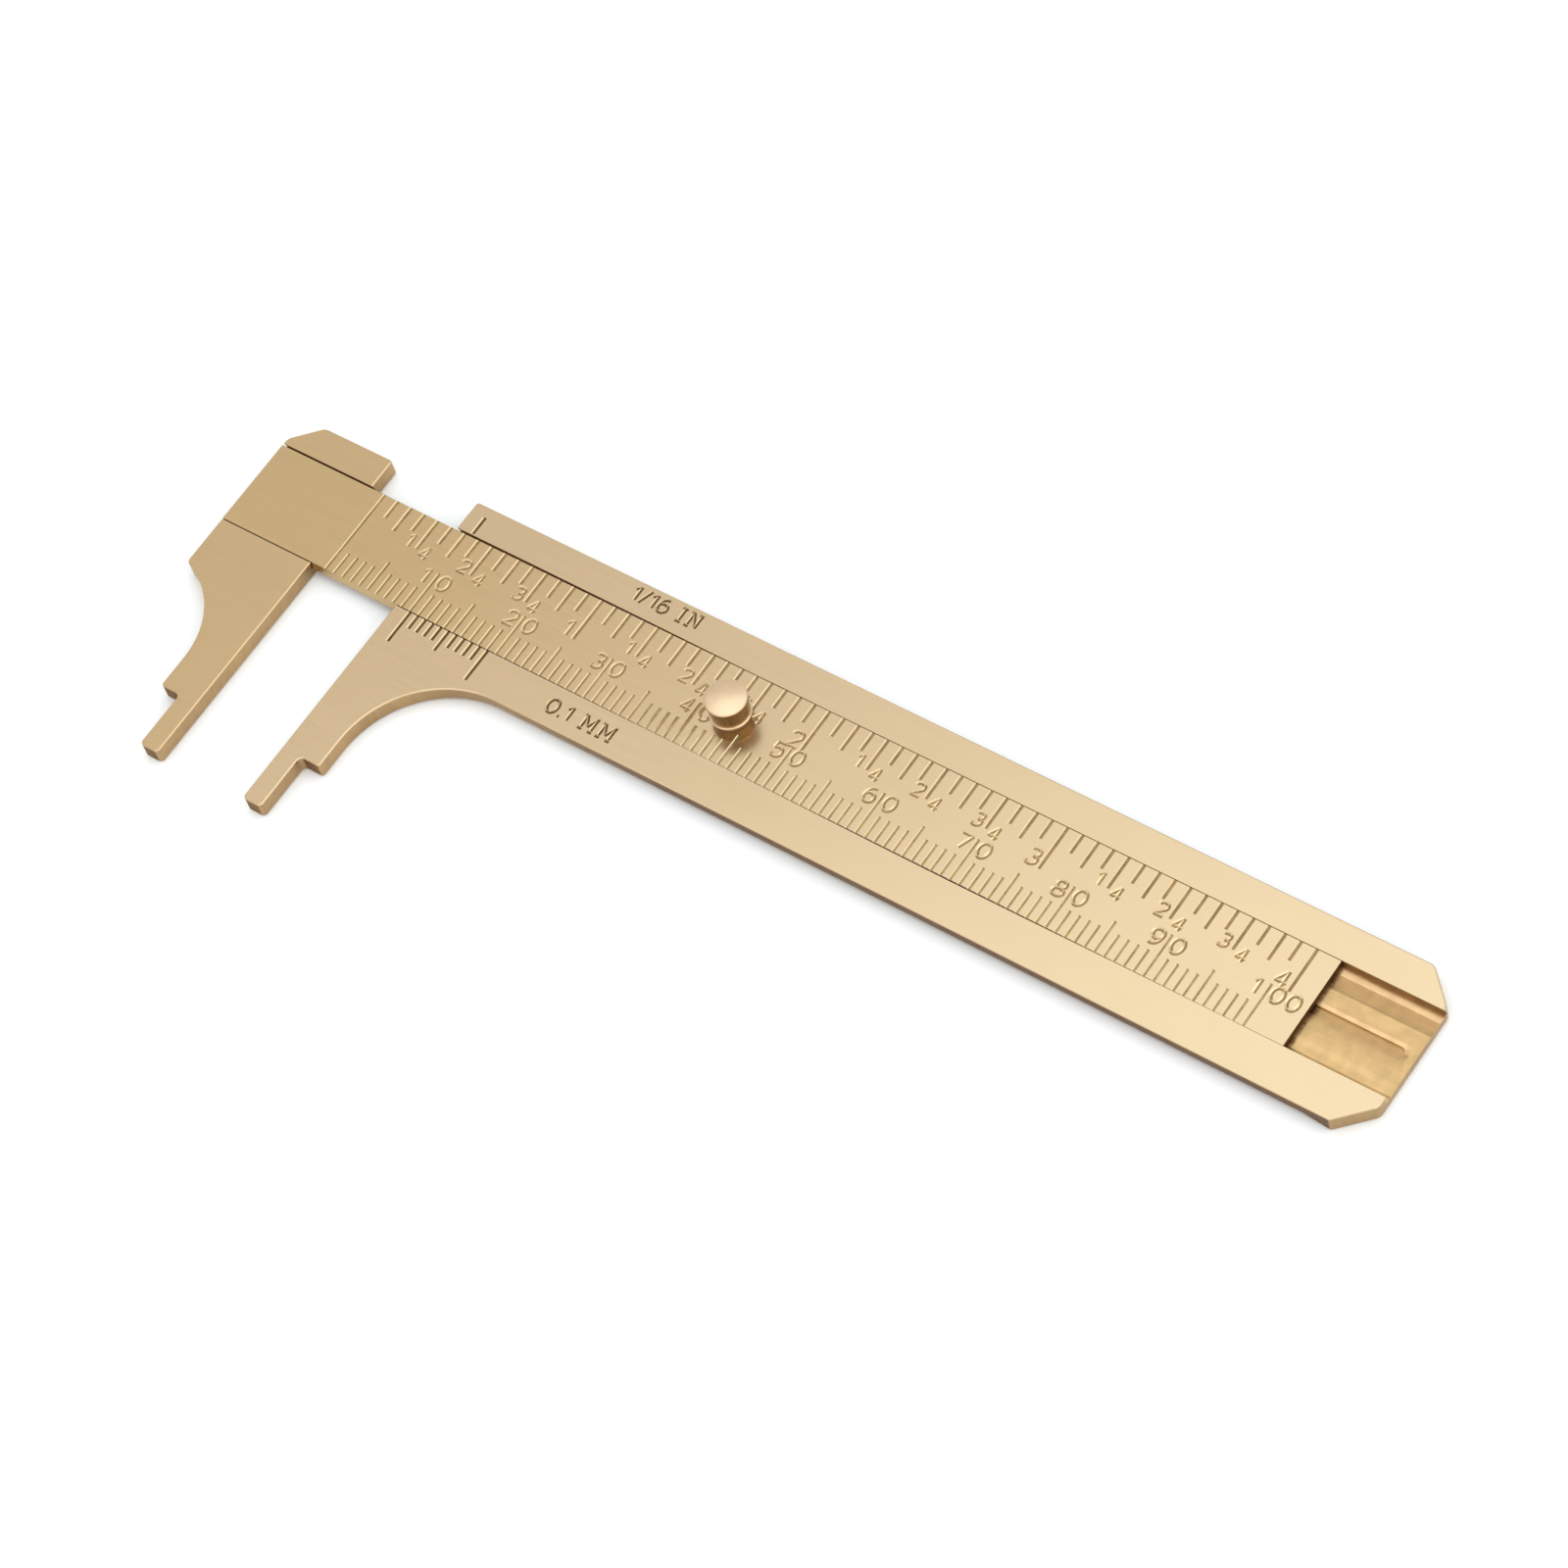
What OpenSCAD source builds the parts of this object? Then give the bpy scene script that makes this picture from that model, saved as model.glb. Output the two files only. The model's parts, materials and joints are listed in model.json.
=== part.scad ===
// Pocket vernier caliper: a channel bar with a fixed jaw, and a dovetail rule strip that slides in it
// and carries the moving jaw and a thumb knob. Millimetres. The gauge lies on its back:
// +X runs from the jaws to the bar's far end, +Y points away from the jaw tips, +Z out of the scales.
// The origin is on the back, under the vernier's zero line, on the centreline of the rule.

/* [Bar] */
// Thickness of the bar and of both jaws
bar_t = 1.8; // [1.5:0.05:3]
// Width of the lip that carries the inch index
upper_lip_w = 3.4; // [2.6:0.1:6]
// Width of the lip that carries the vernier
lower_lip_w = 4.1; // [4:0.1:7]
// Width of the slot between the lips, at the face
slot_w = 9.4; // [8.4:0.1:14]
// Bar beyond the last millimetre line when the jaws are shut
end_margin = 4; // [3.2:0.1:8]
// Corner chamfers at the bar's far end
end_chamfer = 3; // [0.5:0.1:3.2]

/* [Rule strip] */
// Measuring range of the millimetre scale
range_mm = 100; // [60:10:150]
// Thickness of the strip
rule_t = 0.8; // [0.7:0.05:1]
// Lean of the strip's flanks, in degrees from upright
flank_angle = 15; // [5:1:25]
// Side clearance between the strip and the lips
side_gap = 0.1; // [0.06:0.01:0.2]
// Clearance between the strip and the channel floor
floor_gap = 0.05; // [0.03:0.01:0.1]
// Opening of the jaws as drawn
reading = 10.1; // [0:0.1:60]

/* [Jaws] */
// Distance from each jaw's measuring face to its zero line
jaw_setback = 1.7; // [1.2:0.1:4]
// Reach of the jaws below the bar's lower edge
jaw_reach = 19.4; // [16:0.1:30]
// Width of the jaws above the step
shank_w = 4.3; // [3:0.1:6]
// Width of the jaw tips
tip_w = 2.1; // [1.4:0.1:2.8]
// Length of the jaw tips below the step
tip_l = 6; // [2:0.1:6.5]
// Corner radius at the end of the tips
tip_r = 0.45; // [0.2:0.05:0.65]
// Fillet in the inner corner of the step
step_r = 0.5; // [0.2:0.05:0.8]
// Fillet between the bar and the fixed jaw
fixed_fillet_r = 10.2; // [4:0.1:12]
// Fillet between the head and the moving jaw
moving_fillet_r = 9; // [7:0.1:10.5]
// Length of the head that carries the moving jaw
head_l = 10.7; // [9:0.1:13]
// Drop of the head's heel below the bar's lower edge
heel_drop = 1.4; // [0.6:0.1:2]
// Radius that blunts the heel's corner
heel_r = 0.6; // [0.2:0.05:0.9]
// Chamfer on the head's upper corner
head_chamfer = 2.6; // [0.5:0.1:3]

/* [Scales] */
// Width of a millimetre line at the face
line_w = 0.34; // [0.14:0.01:0.42]
// Width of an inch line at the face
inch_line_w = 0.42; // [0.14:0.01:0.5]
// Width of a vernier or index line at the face
vernier_line_w = 0.46; // [0.14:0.01:0.5]
// Length of a millimetre line
mm_line = 2.4; // [1.5:0.1:3]
// Length of a five millimetre line
five_line = 3.4; // [3:0.1:4]
// Length of a ten millimetre line
ten_line = 4.6; // [4:0.1:5.4]
// Length of a sixteenth inch line
sixteenth_line = 2.1; // [1:0.1:2.2]
// Length of an eighth inch line
eighth_line = 2.9; // [2.2:0.1:3]
// Length of a quarter inch line
quarter_line = 3.5; // [3:0.1:4]
// Length of a whole inch line
inch_line = 4.7; // [4:0.1:5.4]
// Length of a vernier line
vernier_line = 1.6; // [1:0.1:2]
// Length of the middle vernier line
vernier_mid_line = 2.4; // [2:0.1:2.8]
// Length of the first and last vernier lines
vernier_end_line = 3.6; // [2.8:0.1:3.8]
// Length of the inch index line
index_line = 2; // [1:0.1:2.2]
// Gap between the index line and the slot
index_gap = 0.3; // [0.2:0.05:0.4]

/* [Knob, rivets and stop] */
// Place of the knob along the millimetre scale
knob_at = 43.4; // [20:0.1:50]
// Diameter of the knob's cap at its rim
cap_d = 4; // [3:0.1:5.5]
// Diameter of the knob's cap at its foot
cap_foot_d = 3.6; // [2.6:0.1:5.5]
// Height of the cap's rim above the collar
cap_h = 2.1; // [1:0.1:3]
// Rise of the cap's dome above its rim
cap_dome = 0.2; // [0.05:0.05:0.5]
// Diameter of the collar under its flange
collar_d = 3.7; // [3:0.1:5.5]
// Diameter of the collar at its foot
collar_foot_d = 3.3; // [2.6:0.1:5.5]
// Diameter of the collar's flange
flange_d = 4; // [3:0.1:5.5]
// Thickness of the collar's flange
flange_h = 0.3; // [0.2:0.05:0.5]
// Height of the collar
collar_h = 1.2; // [0.6:0.1:2]
// Diameter of the knob's shank
shank_d = 1.8; // [1:0.1:2.4]
// Diameter of the jaw rivets
rivet_d = 1.6; // [1:0.1:2]
// Distance between the jaw rivets
rivet_pitch = 5.4; // [3.4:0.1:6]
// Depth of the countersinks for rivets and shank
sink = 0.3; // [0.15:0.05:0.4]
// Depth of rivets and pin in the strip
blind_depth = 0.45; // [0.3:0.05:0.5]
// Diameter of the stop pin
pin_d = 0.7; // [0.6:0.1:1.4]
// Depth of the stop groove in the channel floor
groove_depth = 0.35; // [0.25:0.05:0.4]
// Side clearance of the stop pin in its groove
pin_gap = 0.1; // [0.08:0.01:0.3]
// Overtravel past full opening before the pin meets the groove's end
stop_over = 0.2; // [0.1:0.05:0.5]
// Bar left beyond the groove at the jaw end
near_wall = 2.6; // [1.5:0.1:3]
// Bar left beyond the groove at the far end
far_wall = 1.2; // [0.6:0.1:1.6]

/* [Channel floor] */
// Width of each relief band in the floor
relief_w = 1.5; // [0.5:0.1:2]
// Depth of the relief bands
relief_depth = 0.1; // [0.05:0.01:0.15]
// Width of the flat between a relief band and the lip
relief_inset = 0.9; // [0.6:0.1:1.2]

/* [Hidden] */
$fn = 96;

inch = 25.4;
sixteenths = 16;
over = 1;

// Heights
rule_z = bar_t - rule_t;
floor_z = rule_z - floor_gap;

// Widths across the slot
half_slot = slot_w / 2;
half_rule = half_slot - side_gap;
flank_run = rule_t * tan(flank_angle);
upper_y = half_slot + upper_lip_w;
lower_y = -half_slot - lower_lip_w;
tip_y = lower_y - jaw_reach;
step_y = tip_y + tip_l;
heel_y = lower_y - heel_drop;

// Lengths along the bar
bar_x = range_mm + end_margin;
face_x = -jaw_setback;
slide_x = -reading;
moving_face_x = slide_x - jaw_setback;
head_x = moving_face_x - head_l;
rule_x = slide_x + bar_x;
knob_x = slide_x + knob_at;

// Stop pin and its groove: the pin meets the groove's near end just past full opening
groove_w = pin_d + 2 * pin_gap;
groove_x0 = face_x + near_wall;
groove_x1 = bar_x - far_wall;
pin_x = slide_x + range_mm + groove_x0 + pin_d / 2 + stop_over;
pin_drop = groove_depth - floor_gap;

// Middle of the pair of jaw rivets
rivet_x = moving_face_x - head_l / 2;

// Vernier: ten divisions over nine millimetres
vernier_n = 10;
vernier_step = (vernier_n - 1) / vernier_n;

bar_colour = [0.83, 0.70, 0.48];
rule_colour = [0.86, 0.74, 0.51];
knob_colour = [0.80, 0.66, 0.44];
pin_colour = [0.74, 0.60, 0.38];

// Solid along X from x0 to x1, with its section given in Y and Z
module along_x(x0, x1) {
    translate([x0, 0, 0])
        rotate([90, 0, 90])
            linear_extrude(x1 - x0)
                children();
}

// Section of the dovetail from height z0 up through the face, grown sideways by gap
module dovetail(z0, gap) {
    lean = tan(flank_angle);
    foot = half_rule + gap + (bar_t - z0) * lean;
    top = half_rule + gap - over * lean;
    polygon([[-foot, z0], [foot, z0], [top, bar_t + over], [-top, bar_t + over]]);
}

// One V-shaped line along Y, cut into the face
module scale_line(x, y0, y1, w) {
    side = w / sqrt(2);
    translate([x, y0, bar_t])
        rotate([0, 45, 0])
            translate([-side / 2, 0, -side / 2])
                cube([side, y1 - y0, side]);
}

// Outline of a jaw below the bar: shank, step and tip, with the measuring face on x = 0
module jaw_outline(root_y) {
    translate([0, step_y])
        square([shank_w, root_y - step_y]);
    translate([0, tip_y + tip_r])
        square([tip_w, step_y - tip_y]);
    translate([tip_r, tip_y])
        square([tip_w - 2 * tip_r, tip_r + over]);
    for (x = [tip_r, tip_w - tip_r])
        translate([x, tip_y + tip_r])
            circle(tip_r);
    difference() {
        translate([tip_w - step_r, step_y - step_r])
            square([2 * step_r, 2 * step_r]);
        translate([tip_w + step_r, step_y - step_r])
            circle(step_r);
    }
}

module beam_outline() {
    polygon([
        [face_x, lower_y],
        [bar_x - end_chamfer, lower_y],
        [bar_x, lower_y + end_chamfer],
        [bar_x, upper_y - end_chamfer],
        [bar_x - end_chamfer, upper_y],
        [face_x, upper_y]
    ]);
    translate([face_x, 0])
        jaw_outline(lower_y + over);
    difference() {
        translate([face_x + shank_w - over, lower_y - fixed_fillet_r])
            square([fixed_fillet_r + over, fixed_fillet_r + over]);
        translate([face_x + shank_w + fixed_fillet_r, lower_y - fixed_fillet_r])
            circle(fixed_fillet_r);
    }
}

module head_outline() {
    side = moving_fillet_r - (head_l - shank_w);
    arc = [head_x - side, heel_y - sqrt(pow(moving_fillet_r, 2) - pow(side, 2))];
    heel = [head_x + heel_r, arc.y + sqrt(pow(moving_fillet_r + heel_r, 2) - pow(side + heel_r, 2))];
    touch = arc + (heel - arc) * moving_fillet_r / (moving_fillet_r + heel_r);
    translate([moving_face_x, 0])
        mirror([1, 0])
            jaw_outline(heel_y + over);
    translate(heel)
        circle(heel_r);
    difference() {
        polygon([
            [head_x, arc.y],
            [moving_face_x, arc.y],
            [moving_face_x, upper_y],
            [head_x + head_chamfer, upper_y],
            [head_x, upper_y - head_chamfer]
        ]);
        translate(arc)
            circle(moving_fillet_r);
        polygon([heel, touch, [head_x - over, touch.y - over], [head_x - over, heel.y]]);
    }
}

module beam() {
    color(bar_colour)
        difference() {
            linear_extrude(bar_t)
                beam_outline();
            along_x(face_x - over, bar_x + over)
                dovetail(floor_z, side_gap);
            for (s = [-1, 1])
                along_x(face_x - over, bar_x + over)
                    translate([s * (half_slot - relief_inset - relief_w / 2), floor_z])
                        square([relief_w, 2 * relief_depth], center = true);
            stop_groove();
            for (i = [0:vernier_n])
                scale_line(i * vernier_step, -half_slot - vernier_length(i), -half_slot + over, vernier_line_w);
            scale_line(0, half_slot + index_gap, half_slot + index_gap + index_line, vernier_line_w);
        }
}

function vernier_length(i) =
    i % vernier_n == 0 ? vernier_end_line : i % (vernier_n / 2) == 0 ? vernier_mid_line : vernier_line;

module stop_groove() {
    translate([0, 0, floor_z - groove_depth]) {
        translate([groove_x0 + groove_w / 2, -groove_w / 2, 0])
            cube([groove_x1 - groove_x0 - groove_w, groove_w, groove_depth + over / 2]);
        for (x = [groove_x0 + groove_w / 2, groove_x1 - groove_w / 2])
            translate([x, 0, 0])
                cylinder(d = groove_w, h = groove_depth + over / 2);
    }
}

module rule_strip() {
    color(rule_colour)
        difference() {
            intersection() {
                along_x(head_x, rule_x)
                    dovetail(rule_z, 0);
                translate([head_x - over, -slot_w, 0])
                    cube([rule_x - head_x + 2 * over, 2 * slot_w, bar_t]);
            }
            scales();
            translate([knob_x, 0, 0])
                knob_shank();
            rivet_holes() {
                cylinder(d = rivet_d, h = rule_z + blind_depth);
            }
            translate([pin_x, 0, rule_z - over])
                cylinder(d = pin_d, h = blind_depth + over);
        }
}

function mm_length(i) = i % 10 == 0 ? ten_line : i % 5 == 0 ? five_line : mm_line;

function inch_length(i) =
    i % 16 == 0 ? inch_line : i % 4 == 0 ? quarter_line : i % 2 == 0 ? eighth_line : sixteenth_line;

module scales() {
    scale_line(slide_x, -slot_w, slot_w, line_w);
    for (i = [1:range_mm])
        scale_line(slide_x + i, -slot_w, -half_rule + mm_length(i), line_w);
    for (i = [1:floor((range_mm + end_margin / 2) / inch * sixteenths)])
        scale_line(slide_x + i * inch / sixteenths, half_rule - inch_length(i), slot_w, inch_line_w);
}

module rivet_holes() {
    for (s = [-1, 1])
        translate([rivet_x + s * rivet_pitch / 2, 0, 0])
            children();
}

module moving_jaw() {
    color(bar_colour)
        difference() {
            linear_extrude(bar_t)
                head_outline();
            along_x(head_x - over, moving_face_x + over)
                dovetail(rule_z, side_gap);
            rivet_holes()
                rivet();
        }
}

// Flush rivet: a shank with a countersunk head at the back
module rivet() {
    cylinder(d = rivet_d, h = rule_z + blind_depth);
    cylinder(d1 = rivet_d + 2 * sink, d2 = rivet_d, h = sink);
}

module jaw_rivets() {
    color(pin_colour)
        rivet_holes()
            rivet();
}

// Shank of the knob, spread into a countersink under the strip
module knob_shank() {
    translate([0, 0, rule_z])
        cylinder(d = shank_d, h = rule_t + collar_h);
    translate([0, 0, rule_z])
        cylinder(d1 = shank_d + 2 * sink, d2 = shank_d, h = sink);
}

module thumb_knob() {
    cap_z = bar_t + collar_h;
    dome_r = (pow(cap_d / 2, 2) + pow(cap_dome, 2)) / (2 * cap_dome);
    color(knob_colour)
        translate([knob_x, 0, 0]) {
            knob_shank();
            translate([0, 0, cap_z])
                cylinder(d1 = cap_foot_d, d2 = cap_d, h = cap_h);
            intersection() {
                translate([0, 0, cap_z + cap_h + cap_dome - dome_r])
                    sphere(dome_r);
                translate([0, 0, cap_z + cap_h])
                    cylinder(d = cap_d, h = cap_dome + over);
            }
        }
}

module knob_collar() {
    color(knob_colour)
        translate([knob_x, 0, bar_t])
            difference() {
                union() {
                    cylinder(d1 = collar_foot_d, d2 = collar_d, h = collar_h);
                    translate([0, 0, collar_h - flange_h])
                        cylinder(d = flange_d, h = flange_h);
                }
                translate([0, 0, -over])
                    cylinder(d = shank_d, h = collar_h + 2 * over);
            }
}

module stop_pin() {
    color(pin_colour)
        translate([pin_x, 0, rule_z - pin_drop])
            cylinder(d = pin_d, h = pin_drop + blind_depth);
}

beam();
rule_strip();
moving_jaw();
jaw_rivets();
thumb_knob();
knob_collar();
stop_pin();
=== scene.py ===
import json
import math
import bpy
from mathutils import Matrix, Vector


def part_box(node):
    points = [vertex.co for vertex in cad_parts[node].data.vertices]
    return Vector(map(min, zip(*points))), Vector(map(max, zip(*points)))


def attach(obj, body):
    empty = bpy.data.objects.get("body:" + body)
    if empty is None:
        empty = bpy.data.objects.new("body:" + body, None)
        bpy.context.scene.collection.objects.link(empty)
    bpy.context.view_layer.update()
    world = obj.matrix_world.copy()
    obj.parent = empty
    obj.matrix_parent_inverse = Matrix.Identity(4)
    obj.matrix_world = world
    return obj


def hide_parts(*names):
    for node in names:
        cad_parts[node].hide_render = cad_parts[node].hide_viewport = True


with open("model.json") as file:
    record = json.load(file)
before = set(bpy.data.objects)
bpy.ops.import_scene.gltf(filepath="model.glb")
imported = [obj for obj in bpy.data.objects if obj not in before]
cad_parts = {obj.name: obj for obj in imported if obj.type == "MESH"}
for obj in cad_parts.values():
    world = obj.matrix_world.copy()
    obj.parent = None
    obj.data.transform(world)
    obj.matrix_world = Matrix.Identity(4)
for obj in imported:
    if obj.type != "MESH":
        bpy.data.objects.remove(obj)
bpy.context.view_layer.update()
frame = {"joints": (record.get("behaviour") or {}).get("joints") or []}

from types import SimpleNamespace

import bmesh
import bpy
import numpy as np
from bpy.props import FloatProperty, FloatVectorProperty, PointerProperty
from mathutils import Matrix, Quaternion, Vector

bl_info = {
    "name": "Pocket Sliding Gauge",
    "version": (1, 0, 0),
    "blender": (4, 5, 0),
    "location": "3D View > Sidebar > Gauge",
    "description": "Makes the visible pieces of a brass pocket sliding gauge and its studio",
    "category": "Object",
}

# Pieces are worked out in millimetres and scaled to metres when they are mounted
MM = 0.001
INCH = 25.4

# How far a cutter reaches past what it cuts
OVER = 1.0

# What the rule reads, and how its scales and the vernier are divided
RANGE_MM, TENS = 100, 10
RANGE_IN, QUARTERS, SIXTEENTHS = 4, 4, 16
VERNIER_N, VERNIER_STEP = 10, 0.9


def corners(node):
    """Lowest and highest corner of a construction node, in millimetres."""
    low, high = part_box(node)
    return np.array(low) / MM, np.array(high) / MM


# The only joint: at its lower limit the rule's zero line meets the vernier's
SLIDE = frame["joints"][0]

# Places taken from the construction: X from the jaws to the bar's end, Y away from the tips, Z up
(FACE_X, TIP_Y, BACK_Z), (BAR_X, UPPER_Y, TOP_Z) = corners("beam")
(HEAD_X, _, RULE_Z), (RULE_X, _, _) = corners("rule_strip")
MOVING_X = corners("moving_jaw")[1][0]
ZERO_X = SLIDE["range_m"][0] / MM
KNOB_LOW, KNOB_HIGH = corners("thumb_knob")
COLLAR_LOW, COLLAR_HIGH = corners("knob_collar")
PIN_LOW, PIN_HIGH = corners("stop_pin")
RIVETS_LOW, RIVETS_HIGH = corners("jaw_rivets")


def linear(hex_code):
    """Linear colour of an sRGB hex value, by the two parts of the sRGB curve."""
    srgb = np.array([int(hex_code[k:k + 2], 16) for k in (1, 3, 5)]) / 255
    return tuple(np.where(srgb <= 0.04045, srgb / 12.92, ((srgb + 0.055) / 1.055) ** 2.4))


def length(name, description, millimetres):
    """A length setting, kept in metres and given here in millimetres."""
    return FloatProperty(
        name=name, description=description, default=millimetres * MM, unit="LENGTH", precision=5
    )


def colour(name, description, hex_code):
    """A colour setting, kept as linear and given here as an sRGB hex value."""
    return FloatVectorProperty(name=name, description=description, default=linear(hex_code), subtype="COLOR")


class GaugeSizes(bpy.types.PropertyGroup):
    """Sizes that the construction's boxes don't give"""

    slot_w: length("Slot width", "Width of the slot at the face", 9.4)
    lower_lip_w: length("Lower lip", "Width of the lip that carries the vernier", 4.1)
    slit: length("Slit", "Gap between the rule and the unworn lips", 0.04)
    wear: length("Wear", "What the upper lip has lost at the jaw end", 0.18)
    worn_l: length("Worn length", "Length over which the wear runs out", 34)
    snug: length("Snug", "Narrowing of the slit at the lower lip, where it isn't worn", 0.025)
    hollow: length("Hollow", "Depth of the hollow worn into the lower lip", 0.1)
    hollow_x: length("Hollow place", "Place of the hollow's middle along X", 60)
    hollow_l: length("Hollow length", "Length of the lower lip's hollow", 52)
    seat_gap: length("Seat gap", "Extra gap at the upper flank of the rule's seat", 0.15)
    floor_gap: length("Floor gap", "Clearance under the rule", 0.05)
    end_chamfer: length("End chamfer", "Corner chamfers at the bar's far end", 3)
    edge_r: length("Edge round", "Radius of the edges of bar and jaws", 0.12)
    hand_r: length("Hand edge", "Radius of the bar's lower edge at the back", 0.8)
    mouth: length("Mouth", "Broken edges of the slot and the rule", 0.03)
    corner_r: length("Corner round", "Radius of the plan corners", 0.3)
    chamfer_r: length("Chamfer round", "Radius at the ends of the worn chamfers", 1)
    relief_w: length("Relief width", "Width of each relief band", 1.5)
    relief_depth: length("Relief depth", "Depth of the relief bands", 0.1)
    relief_inset: length("Relief inset", "Flat between the upper relief band and its lip", 0.9)
    lower_inset: length("Lower inset", "Flat between the lower relief band and its lip", 0.3)
    relief_fade: length("Relief fade", "Width of the relief bands' gentle slopes", 0.55)
    relief_brim: length("Relief brim", "Width of the relief bands' slopes beside the lips", 0.3)
    groove_depth: length("Groove depth", "Depth of the stop groove", 0.35)
    groove_gap: length("Groove gap", "Side clearance of the stop pin", 0.1)
    slope_w: length("Slope width", "Mean width of the slopes at the stop groove's mouth", 0.5)
    slope_shift: length("Slope shift", "Extra width of the near slope, taken from the far one", 0.15)
    slope_depth: length("Slope depth", "Depth of the stop groove's sloping mouth", 0.1)
    near_wall: length("Near wall", "Bar left beyond the groove at the jaw end", 2.6)
    far_wall: length("Far wall", "Bar left beyond the groove at the far end", 1.2)
    shank_w: length("Jaw width", "Width of the jaws above the step", 4.3)
    tip_w: length("Tip width", "Width of the jaw tips", 2.1)
    tip_l: length("Tip length", "Length of the jaw tips below the step", 6)
    tip_r: length("Tip round", "Corner radius of the tips", 0.45)
    step_r: length("Step fillet", "Fillet in the step's corner", 0.5)
    fixed_fillet_r: length("Fixed jaw fillet", "Fillet between the bar and the fixed jaw", 10.2)
    moving_fillet_r: length("Moving jaw fillet", "Fillet between the head and the moving jaw", 9)
    heel_drop: length("Heel drop", "Drop of the head's heel below the bar's lower edge", 1.4)
    heel_r: length("Heel round", "Radius that blunts the heel's corner", 0.6)
    head_chamfer: length("Head chamfer", "Chamfer on the head's upper corner", 2.6)
    knob_edge_r: length("Knob edge", "Radius of the knob's rim", 0.15)
    knob_foot_r: length("Knob foot", "Broken edges of the knob's foot and the collar", 0.1)
    knob_dome: length("Knob dome", "Rise of the knob's dome above its rim", 0.2)
    knob_foot_d: length("Knob foot width", "Diameter of the knob's cap at its foot", 3.6)
    collar_d: length("Collar", "Diameter of the collar under its flange", 3.7)
    collar_foot_d: length("Collar foot", "Diameter of the collar at its foot", 3.3)
    flange_h: length("Flange", "Thickness of the collar's flange", 0.3)
    sink: length("Countersink", "Depth of the rivets' countersunk heads", 0.3)
    proud: length("Rivet rise", "Rise of the rivets' hammered heads out of the back", 0.03)
    pin_chamfer: length("Pin chamfer", "Broken edge at the end of the pins", 0.08)


class ScaleSizes(bpy.types.PropertyGroup):
    """Sizes and places of the engraved lines and figures"""

    line_w: length("Line width", "Width of a millimetre line", 0.36)
    figure_w: length("Figure stroke", "Width of a stroke of the scales' figures", 0.42)
    inch_line_w: length("Inch line width", "Width of an inch line", 0.46)
    vernier_line_w: length("Vernier line width", "Width of a vernier line and of the inch index", 0.46)
    mm_line: length("Millimetre line", "Length of a millimetre line", 2.4)
    five_line: length("Five millimetre line", "Length of a five millimetre line", 3.4)
    ten_line: length("Ten millimetre line", "Length of a ten millimetre line", 4.6)
    sixteenth_line: length("Sixteenth line", "Length of a sixteenth inch line", 2.1)
    eighth_line: length("Eighth line", "Length of an eighth inch line", 2.9)
    quarter_line: length("Quarter line", "Length of a quarter inch line", 3.5)
    inch_line: length("Inch line", "Length of a whole inch line", 4.7)
    vernier_line: length("Vernier line", "Length of a vernier line", 1.6)
    vernier_mid: length("Middle vernier line", "Length of the middle vernier line", 2.4)
    vernier_end: length("End vernier line", "Length of the first and last vernier lines", 3.6)
    index_line: length("Index line", "Length of the inch index line", 2)
    index_gap: length("Index gap", "Gap between the index line and the slot", 0.3)
    mm_figure: length("Millimetre figure", "Height of the millimetre figures", 1.52)
    mm_base: length("Millimetre base", "Foot of the millimetre figures", -1.55)
    inch_figure: length("Inch figure", "Height of the whole inch figures", 1.6)
    inch_base: length("Inch base", "Foot of the whole inch figures", 0.05)
    part_figure: length("Quarter figure", "Height of the quarter inch figures", 1.33)
    part_base: length("Quarter base", "Foot of a quarter's upper figure", 1.04)
    four_base: length("Four base", "Foot of a quarter's lower figure", 0.45)
    beside: length("Beside", "Distance from a line to a figure's middle", 1.05)
    pitch: length("Pitch", "Distance between the last two figures of 100", 1.6)
    label_x: length("Label X", "Middle of the unit labels along the bar", 21.15)
    upper_label_y: length("Upper label", "Foot of the label on the upper lip", 6.12)
    lower_label_y: length("Lower label", "Foot of the label on the lower lip", -7.44)
    label_figure: length("Label figure", "Height of the unit labels", 1.45)
    label_gap: length("Label gap", "Space between the signs of a unit label", 0.42)
    label_w: length("Label stroke", "Width of a stroke of the unit labels", 0.38)


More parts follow.
